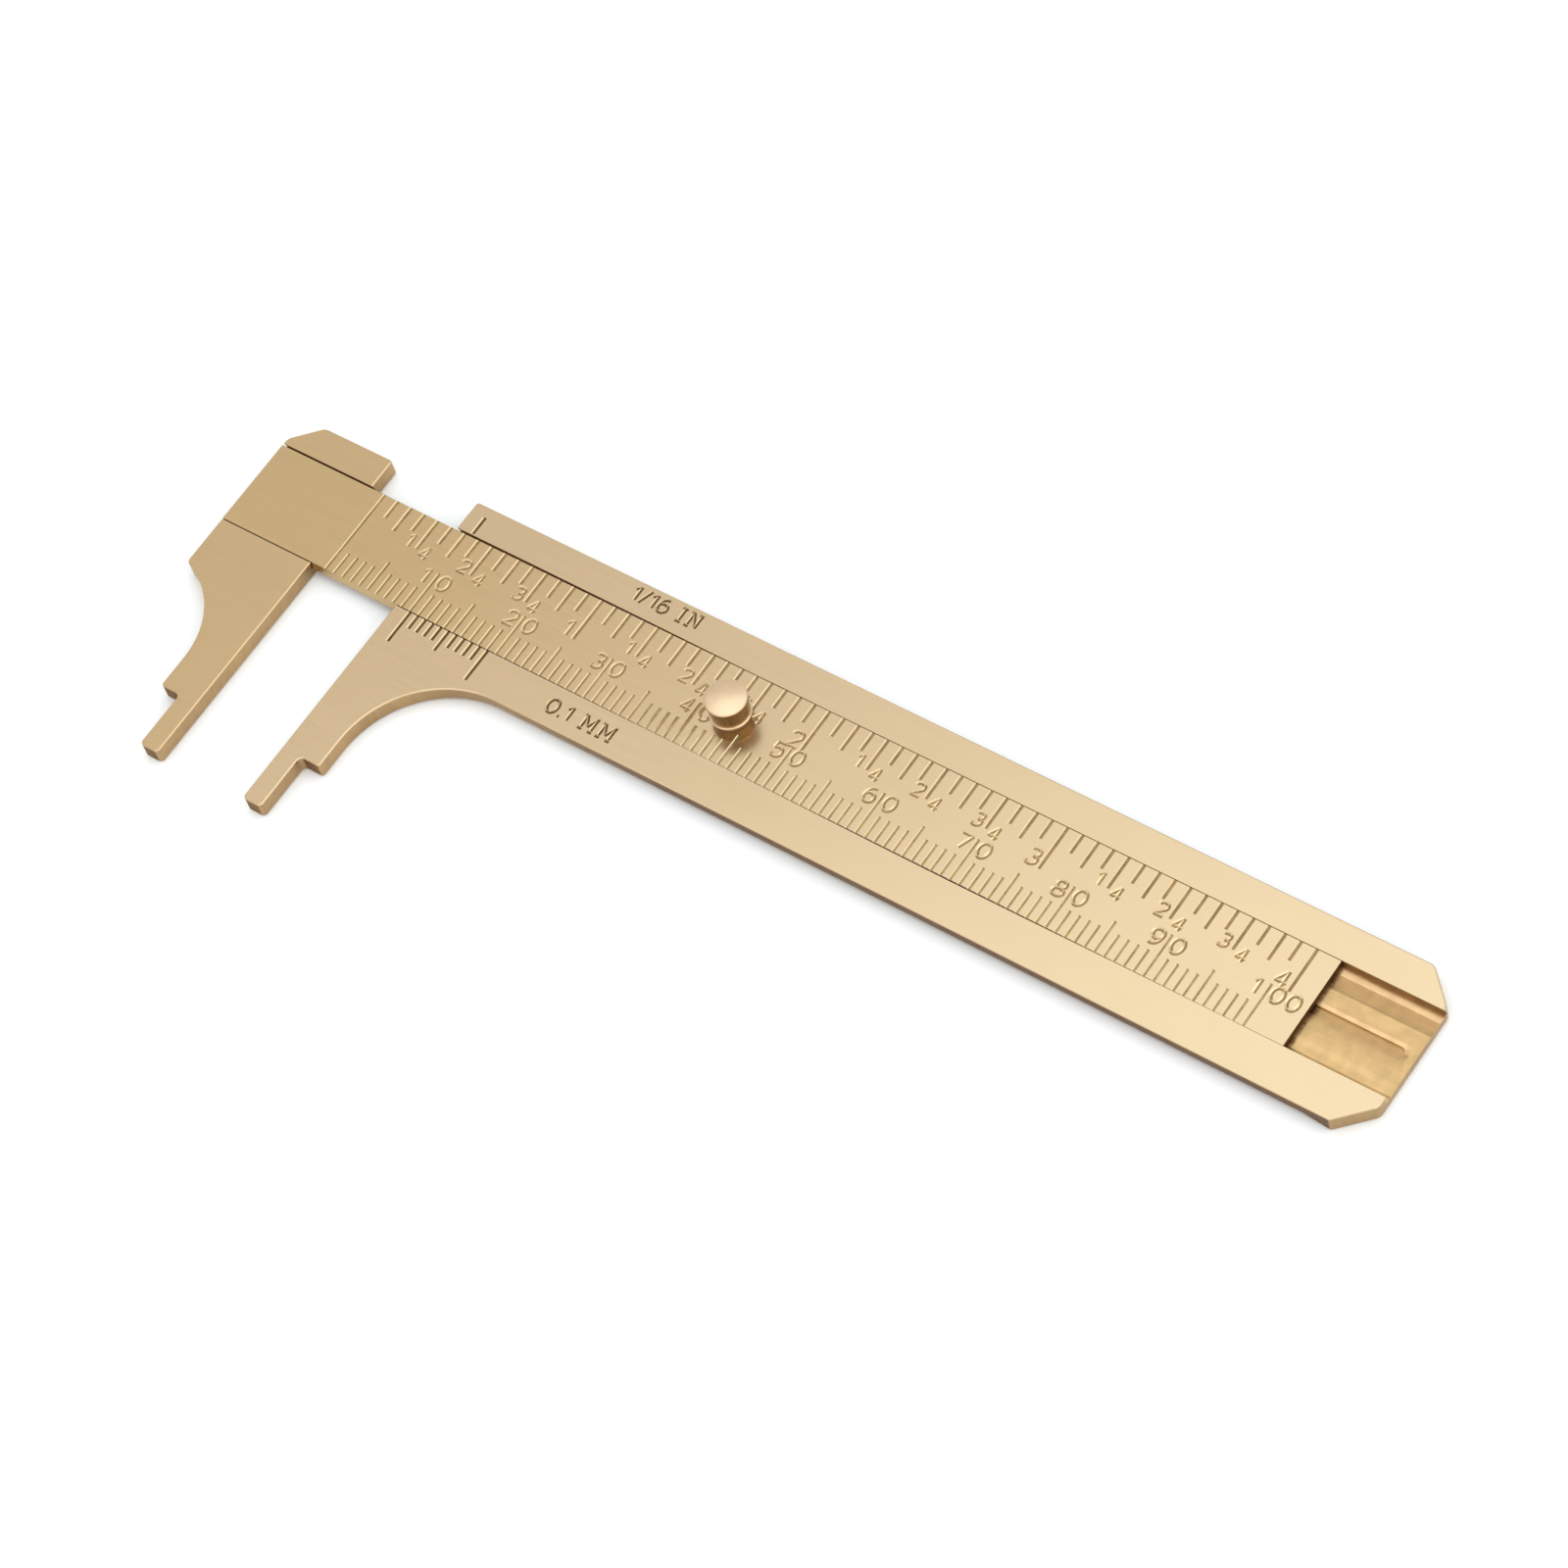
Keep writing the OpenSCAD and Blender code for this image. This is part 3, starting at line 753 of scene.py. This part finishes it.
class GAUGE_OT_bar(bpy.types.Operator):
    """Make the bar with its fixed jaw, slot, stop groove, vernier and unit labels"""

    bl_idname = "gauge.bar"
    bl_label = "Bar"

    def execute(self, context):
        size, scale = in_mm(context.scene.gauge_sizes), in_mm(context.scene.gauge_scales)
        place, finish = across(size), finishes(context)
        shank_x, tip_x, end = FACE_X + size.shank_w, FACE_X + size.tip_w, size.end_chamfer
        hand_end = BAR_X - 2 * end
        outline = rounded([
            (FACE_X, UPPER_Y, size.corner_r),
            (FACE_X, TIP_Y, size.tip_r),
            (tip_x, TIP_Y, size.tip_r),
            (tip_x, place.step, size.step_r),
            (shank_x, place.step, size.corner_r),
            (shank_x, place.lower, size.fixed_fillet_r),
            (hand_end, place.lower, 0),
            (BAR_X - end, place.lower, size.corner_r),
            (BAR_X, place.lower + end, size.chamfer_r),
            (BAR_X, UPPER_Y - end, size.chamfer_r),
            (BAR_X - end, UPPER_Y, size.chamfer_r),
        ])
        x, y = outline.T
        face, aged, edge, under = range(4)
        # Painted shade: the long walls take the edge finish darkened along X, the far end's chamfers keep it
        # plain
        wall = np.where(x < BAR_X - end - size.corner_r, aged, edge)
        coats = plate_coats(outline, wall, under, place.step + OVER)
        # The hand edge grows along the fillet and ends where the outline has its extra point
        share = np.clip((x - shank_x) / size.fixed_fillet_r, 0, 1) * ((y < 0) & (x <= hand_end))
        back = size.edge_r + (size.hand_r - size.edge_r) * share
        # The rounding of the hand edge takes the walls' finish, and with it their painted shade
        coats[:EDGE_STEPS] = np.where(share > 0, wall, face)
        bar = solid(
            "bar_with_fixed_jaw", [finish.bar, finish.aged, finish.edge, finish.under],
            [skin(plate(outline, BACK_Z, TOP_Z, size.edge_r, back), coats=coats)],
        )
        carve(
            bar, [finish.floor, finish.relief, finish.flank, finish.bar, finish.ledge],
            [self.channel(size, place)],
        )
        carve(bar, [finish.relief, finish.rubbed, finish.floor, finish.ledge], [self.stop_groove(size)])
        carve(bar, [finish.cut, finish.patina], self.vernier(scale, place) + self.labels(scale))
        mount(bar, "bar", "bar_brass", "beam")
        return {"FINISHED"}

    def channel(self, size, place):
        """Cutter of the slot: sections carried along X, whose halves run from the floor's middle outwards.
        Wear widens them by one minus a square along its length, the hollow by the square of a cosine."""
        floor = RULE_Z - size.floor_gap
        low = floor - size.relief_depth

        def half(wear, inset):
            """Half section: relief band, ledge, flank and mouth."""
            outer = place.half_slot - inset
            inner = outer - size.relief_w
            foot, brink, mouth = dovetail(size, place.half_slot + wear, floor, 1)
            return [
                (inner, floor), (inner + size.relief_fade, low), (outer - size.relief_brim, low),
                (outer, floor), foot, brink, mouth, (mouth[0], TOP_Z + OVER),
            ]

        share = np.linspace(0, 1, WEAR_STEPS + 1)
        along = np.union1d(FACE_X + share * size.worn_l, size.hollow_x + (share - 0.5) * size.hollow_l)
        x = np.array([FACE_X - OVER, *along, BAR_X + OVER])
        worn = np.clip((x - FACE_X) / size.worn_l, 0, 1)
        bend = np.clip((x - size.hollow_x) / size.hollow_l, -0.5, 0.5)
        upper = size.wear * (1 - worn ** 2)
        lower = LOWER_WEAR * upper + size.hollow * np.cos(np.pi * bend) ** 2 - size.snug
        sections = [
            mirrored(half(above, size.relief_inset), half(below, size.lower_inset))
            for above, below in zip(upper, lower)
        ]
        # Finishes of the sections' sides, from the upper relief band over both lips to the floor's middle:
        # the relief band is darker as painted shade, the flat beside the upper lip paler as a painted
        # highlight
        plain, relief, flank, face, ledge = range(5)
        coats = [plain, relief, relief, ledge, flank, *[face] * 5, flank, *[plain] * 5]
        return skin(carried(sections, x), coats=coats)

    def stop_groove(self, size):
        """Cutter of the groove that the stop pin runs in: layers of an outline with round ends, of which
        the topmost is wider and shifted, so that the mouth slopes."""
        radius = (PIN_HIGH[0] - PIN_LOW[0]) / 2 + size.groove_gap
        near, far = FACE_X + size.near_wall + radius, BAR_X - size.far_wall - radius
        outline = np.vstack([bow(far, 0, radius, radius, -90, 90), bow(near, 0, radius, radius, 90, 270)])
        floor, deep = RULE_Z - size.floor_gap, size.slope_depth
        height = [floor - size.groove_depth, floor - deep, floor + deep]
        rings = layers(outline, [0, 0, 2 * size.slope_w], height)
        rings[-1, :, 1] -= 2 * size.slope_shift
        upper = outline[:, 1] > 0
        # Painted light: the far wall and far slope are paler as a painted highlight, the near wall and the
        # bottom darker as painted shade
        relief, rubbed, plain, ledge = range(4)
        coats = np.stack([np.where(upper, rubbed, relief), np.where(upper, ledge, plain)])
        return skin(rings, coats=coats)

    def vernier(self, scale, place):
        """Ten divisions over nine millimetres on the lower lip, and the inch index on the upper lip."""
        brink, width = -place.half_slot, scale.vernier_line_w
        reach = {0: scale.vernier_end, VERNIER_N // 2: scale.vernier_mid, VERNIER_N: scale.vernier_end}
        lines = [
            upright(VERNIER_STEP * k, brink - reach.get(k, scale.vernier_line), brink + OVER / 2, width)
            for k in range(VERNIER_N + 1)
        ]
        index = place.half_slot + scale.index_gap
        return lines + [upright(0, index, index + scale.index_line, width)]

    def labels(self, scale):
        """What each scale reads to, as generic figures and units on the two lips."""
        row = (scale.label_figure, scale.label_gap, scale.label_w)
        upper = label("1/16 IN", scale.label_x, scale.upper_label_y, *row)
        return upper + label("0.1 MM", scale.label_x, scale.lower_label_y, *row)


class GAUGE_OT_rule(bpy.types.Operator):
    """Make the dovetail rule with its millimetre and inch scales"""

    bl_idname = "gauge.rule"
    bl_label = "Rule"

    def execute(self, context):
        size, scale = in_mm(context.scene.gauge_sizes), in_mm(context.scene.gauge_scales)
        place, finish = across(size), finishes(context)
        edge = place.half_slot - size.slit
        section = mirrored(dovetail(size, edge, RULE_Z, -1))
        inner = section - size.mouth * mitres(section)
        x = [HEAD_X, HEAD_X + size.mouth, RULE_X - size.mouth, RULE_X]
        # Painted shade: the far end face takes a dark finish
        near_end, shaded_far_end = 1, 2
        strip = skin(carried([inner, section, section, inner], x), caps=(near_end, shaded_far_end))
        rule = solid("scale_rule", [finish.rule, finish.edge, finish.end], [strip])
        carve(rule, [finish.cut, finish.faint], self.mm_lines(scale, edge))
        carve(rule, [finish.cut, finish.shade], self.inch_lines(scale, edge))
        carve(rule, [finish.stamp, finish.shade], self.figures(scale))
        mount(rule, "slide", "rule_brass", "rule_strip")
        return {"FINISHED"}

    def mm_lines(self, scale, edge):
        """The zero line, right across the rule, and millimetre lines from the lower edge."""
        over = edge + OVER
        skins = [upright(ZERO_X, -over, over, scale.line_w)]
        for k in range(1, RANGE_MM + 1):
            reach = scale.ten_line if k % TENS == 0 else scale.five_line if k % 5 == 0 else scale.mm_line
            skins.append(upright(ZERO_X + k, -over, reach - edge, scale.line_w))
        return skins

    def inch_lines(self, scale, edge):
        """Sixteenths of an inch from the upper edge."""
        skins = []
        for k in range(1, RANGE_IN * SIXTEENTHS + 1):
            x = ZERO_X + k * INCH / SIXTEENTHS
            reach = (
                scale.inch_line if k % SIXTEENTHS == 0
                else scale.quarter_line if k % (SIXTEENTHS // QUARTERS) == 0
                else scale.eighth_line if k % 2 == 0 else scale.sixteenth_line
            )
            skins.append(upright(x, edge - reach, edge + OVER, scale.inch_line_w))
        return skins

    def figures(self, scale):
        """Tens of millimetres astride their lines, and inches with their quarters."""
        skins = []
        stroke = (scale.figure_w, STAMP_SHIFT)
        for reading in range(TENS, RANGE_MM + 1, TENS):
            for order, sign in enumerate(str(reading)):
                shift = -scale.beside if order == 0 else scale.beside + (order - 1) * scale.pitch
                skins += figure(sign, ZERO_X + reading + shift, scale.mm_base, scale.mm_figure, *stroke)
        for k in range(1, RANGE_IN * QUARTERS + 1):
            x = ZERO_X + k * INCH / QUARTERS
            inches, part = divmod(k, QUARTERS)
            if part == 0:
                skins += figure(str(inches), x - scale.beside, scale.inch_base, scale.inch_figure, *stroke)
            else:
                skins += figure(str(part), x - scale.beside, scale.part_base, scale.part_figure, *stroke)
                skins += figure(str(QUARTERS), x + scale.beside, scale.four_base, scale.part_figure, *stroke)
        return skins


class GAUGE_OT_head(bpy.types.Operator):
    """Make the head with the moving jaw"""

    bl_idname = "gauge.head"
    bl_label = "Head and moving jaw"

    def execute(self, context):
        size = in_mm(context.scene.gauge_sizes)
        place, finish = across(size), finishes(context)
        outline = self.outline(size, place)
        edge, under = 1, 2
        coats = plate_coats(outline, edge, under, place.step + OVER)
        head = solid(
            "head_with_moving_jaw", [finish.head, finish.edge, finish.under],
            [skin(plate(outline, BACK_Z, TOP_Z, size.edge_r, size.edge_r), coats=coats)],
        )
        carve(head, [finish.flank, finish.head], [self.seat(size, place)])
        mount(head, "slide", "bar_brass", "moving_jaw")
        return {"FINISHED"}

    def outline(self, size, place):
        """The head's outline: the jaw's long back arc meets the blunt heel where the two circles touch."""
        shank_x, tip_x = MOVING_X - size.shank_w, MOVING_X - size.tip_w
        radius, blunt = size.moving_fillet_r, size.heel_r
        side = HEAD_X - (shank_x - radius)
        arc_y = place.lower - size.heel_drop - math.sqrt(radius ** 2 - side ** 2)
        rise = math.sqrt((radius + blunt) ** 2 - (side + blunt) ** 2)
        touch = math.degrees(math.atan2(rise, side + blunt))
        heel = bow(HEAD_X + blunt, arc_y + rise, blunt, blunt, 180, 180 + touch)
        back = bow(shank_x - radius, arc_y, radius, radius, touch, 0)
        return rounded([
            (MOVING_X, UPPER_Y, size.corner_r),
            (HEAD_X + size.head_chamfer, UPPER_Y, size.chamfer_r),
            (HEAD_X, UPPER_Y - size.head_chamfer, size.chamfer_r),
            *np.column_stack([np.vstack([heel, back[1:]]), np.zeros(len(heel) + len(back) - 1)]),
            (shank_x, place.step, size.corner_r),
            (tip_x, place.step, size.step_r),
            (tip_x, TIP_Y, size.tip_r),
            (MOVING_X, TIP_Y, size.tip_r),
        ])

    def seat(self, size, place):
        """Cutter of the dovetail seat that holds the rule's end: one section carried along X."""
        gaps = (size.seat_gap, LOWER_WEAR * size.seat_gap)
        halves = [dovetail(size, place.half_slot + gap, RULE_Z, 1) for gap in gaps]
        section = mirrored(*([*half, (half[-1][0], TOP_Z + OVER)] for half in halves))
        flank, face = 0, 1
        coats = [flank, *[face] * 5, flank, flank]
        return skin(carried([section] * 2, [HEAD_X - OVER, MOVING_X + OVER]), coats=coats)


# Degrees at which the knob's rim becomes its dome, rings of the dome, and radius share of the last one
RIM_END, DOME_RINGS, DOME_TIP = 80, 11, 0.02


class GAUGE_OT_knob(bpy.types.Operator):
    """Make the thumb knob and the collar under it"""

    bl_idname = "gauge.knob"
    bl_label = "Knob and collar"

    def execute(self, context):
        size, finish = in_mm(context.scene.gauge_sizes), finishes(context)
        x, y = (KNOB_LOW + KNOB_HIGH)[:2] / 2
        radius = (KNOB_HIGH[0] - KNOB_LOW[0]) / 2
        low, high, edge, blunt = COLLAR_HIGH[2], KNOB_HIGH[2], size.knob_edge_r, size.knob_foot_r
        foot = bow(size.knob_foot_d / 2 - blunt, low + blunt, blunt, blunt, -90, 0)
        rim = bow(radius - edge, high - size.knob_dome - edge, edge, edge, 0, RIM_END)
        share = np.linspace(1, DOME_TIP, DOME_RINGS + 1)[1:]
        dome = np.column_stack([share * rim[-1, 0], high - size.knob_dome * share ** 2])
        profile = np.vstack([foot, rim, dome])
        # Painted shade: the knob's side takes the dark turned finish
        polished, drum = 0, 1
        coats = np.full((len(profile) - 1, 1), polished)
        coats[len(foot) - 1] = drum
        knob = solid("thumb_knob_cap", [finish.knob, finish.drum], [skin(turned(x, y, profile), coats=coats)])
        mount(knob, "slide", "knob_brass", "thumb_knob")
        flange, under = (COLLAR_HIGH[0] - COLLAR_LOW[0]) / 2, low - size.flange_h
        profile = [
            (size.collar_foot_d / 2, COLLAR_LOW[2]), (size.collar_d / 2, under), (flange - blunt, under),
            (flange, under + blunt), (flange, low - blunt), (flange - blunt, low),
        ]
        coats = np.array([drum, drum, polished, polished, polished])[:, None]
        collar = solid("collar", [finish.knob, finish.drum], [skin(turned(x, y, profile), coats=coats)])
        mount(collar, "slide", "knob_brass", "knob_collar")
        return {"FINISHED"}


# Points about a rivet or the pin
PIN_AROUND = 48


class GAUGE_OT_pins(bpy.types.Operator):
    """Make the two jaw rivets and the stop pin"""

    bl_idname = "gauge.pins"
    bl_label = "Rivets and stop pin"

    def execute(self, context):
        size, finish = in_mm(context.scene.gauge_sizes), finishes(context)
        head, sink = (RIVETS_HIGH[1] - RIVETS_LOW[1]) / 2, size.sink
        profile = [
            (head - 2 * size.proud, BACK_Z - size.proud), (head, BACK_Z), (head - sink, BACK_Z + sink),
            (head - sink, RULE_Z),
        ]
        places = (RIVETS_LOW[0] + head, RIVETS_HIGH[0] - head)
        rivets = solid(
            "jaw_rivet_pair", [finish.pin], [skin(turned(x, 0, profile, PIN_AROUND)) for x in places]
        )
        mount(rivets, "slide", "pin_brass", "jaw_rivets")
        radius, low, blunt = (PIN_HIGH[0] - PIN_LOW[0]) / 2, PIN_LOW[2], size.pin_chamfer
        profile = [(radius - blunt, low), (radius, low + blunt), (radius, RULE_Z)]
        x, y = (PIN_LOW + PIN_HIGH)[:2] / 2
        pin = solid("travel_stop_pin", [finish.pin], [skin(turned(x, y, profile, PIN_AROUND))])
        mount(pin, "slide", "pin_brass", "stop_pin")
        return {"FINISHED"}


# Lamps: name, place, turn in degrees of one that hangs level, or None for one that faces the aim, width
# and depth in metres, power in watts and colour
LAMPS = (
    ("overhead", (0.0, 0.07, 0.6), -39, 0.6, 0.6, 1.25, "#E0F2FF"),
    ("right", (0.62, 0.03, 0.35), None, 0.4, 0.9, 1.1, "#FFFFFF"),
    ("front", (0.2, -0.62, 0.28), None, 0.9, 0.4, 0.55, "#FFFFFF"),
)

# Side of the paper floor, and its drop below the back, in metres
FLOOR_SIDE = 4.0
FLOOR_DROP = 0.1 * MM


class GAUGE_OT_studio(bpy.types.Operator):
    """Make the white paper floor, the lamps, the room light and the camera"""

    bl_idname = "gauge.studio"
    bl_label = "Studio"

    def execute(self, context):
        studio, scene = context.scene.gauge_studio, context.scene
        aim = Vector(studio.aim)
        half = FLOOR_SIDE / 2
        floor = bpy.data.objects.new("paper_floor", bpy.data.meshes.new("paper_floor"))
        floor.data.from_pydata(
            [(x, y, -FLOOR_DROP) for x, y in ((-half, -half), (half, -half), (half, half), (-half, half))],
            [], [(0, 1, 2, 3)],
        )
        floor.data.materials.append(studio_paper(scene.gauge_colours.paper))
        scene.collection.objects.link(floor)
        for name, place, turn, width, depth, power, tone in LAMPS:
            lamp = bpy.data.objects.new(name, bpy.data.lights.new(name, "AREA"))
            lamp.data.shape = "RECTANGLE"
            lamp.data.size = width
            lamp.data.size_y = depth
            lamp.data.energy = power
            lamp.data.color = linear(tone)
            lamp.location = place
            lamp.rotation_mode = "QUATERNION"
            if turn is None:
                lamp.rotation_quaternion = Vector((0, 0, -1)).rotation_difference(aim - lamp.location)
            else:
                lamp.rotation_quaternion = Quaternion((0, 0, 1), math.radians(turn))
            scene.collection.objects.link(lamp)
        scene.world = bpy.data.worlds.new("room")
        scene.world.use_nodes = True
        light = scene.world.node_tree.nodes["Background"]
        light.inputs["Color"].default_value = (1, 1, 1, 1)
        light.inputs["Strength"].default_value = studio.room
        camera = bpy.data.objects.new("camera", bpy.data.cameras.new("camera"))
        camera.data.lens = studio.lens
        camera.location = studio.place
        camera.rotation_mode = "QUATERNION"
        look = (aim - camera.location).to_track_quat("-Z", "Y")
        camera.rotation_quaternion = look @ Quaternion((0, 0, 1), studio.roll)
        scene.collection.objects.link(camera)
        scene.camera = camera
        scene.view_settings.view_transform = "Standard"
        return {"FINISHED"}


class GAUGE_PT_panel(bpy.types.Panel):
    """Lists the pieces of the gauge and their settings"""

    bl_idname = "GAUGE_PT_panel"
    bl_label = "Sliding gauge"
    bl_space_type = "VIEW_3D"
    bl_region_type = "UI"
    bl_category = "Gauge"

    def draw(self, context):
        for operator in OPERATORS:
            self.layout.operator(operator.bl_idname)
        for group in GROUPS:
            settings = getattr(context.scene, group)
            for name in settings.__annotations__:
                self.layout.prop(settings, name)


GROUPS = {
    "gauge_sizes": GaugeSizes,
    "gauge_scales": ScaleSizes,
    "gauge_colours": GaugeColours,
    "gauge_studio": StudioSettings,
}
OPERATORS = (GAUGE_OT_bar, GAUGE_OT_rule, GAUGE_OT_head, GAUGE_OT_knob, GAUGE_OT_pins, GAUGE_OT_studio)


def register():
    for item in (*GROUPS.values(), *OPERATORS, GAUGE_PT_panel):
        bpy.utils.register_class(item)
    for name, group in GROUPS.items():
        setattr(bpy.types.Scene, name, PointerProperty(type=group))


def unregister():
    for name in GROUPS:
        delattr(bpy.types.Scene, name)
    for item in (GAUGE_PT_panel, *OPERATORS[::-1], *reversed(GROUPS.values())):
        bpy.utils.unregister_class(item)


def main():
    register()
    bpy.ops.gauge.bar()
    bpy.ops.gauge.rule()
    bpy.ops.gauge.head()
    bpy.ops.gauge.knob()
    bpy.ops.gauge.pins()
    bpy.ops.gauge.studio()


if __name__ == "__main__":
    main()
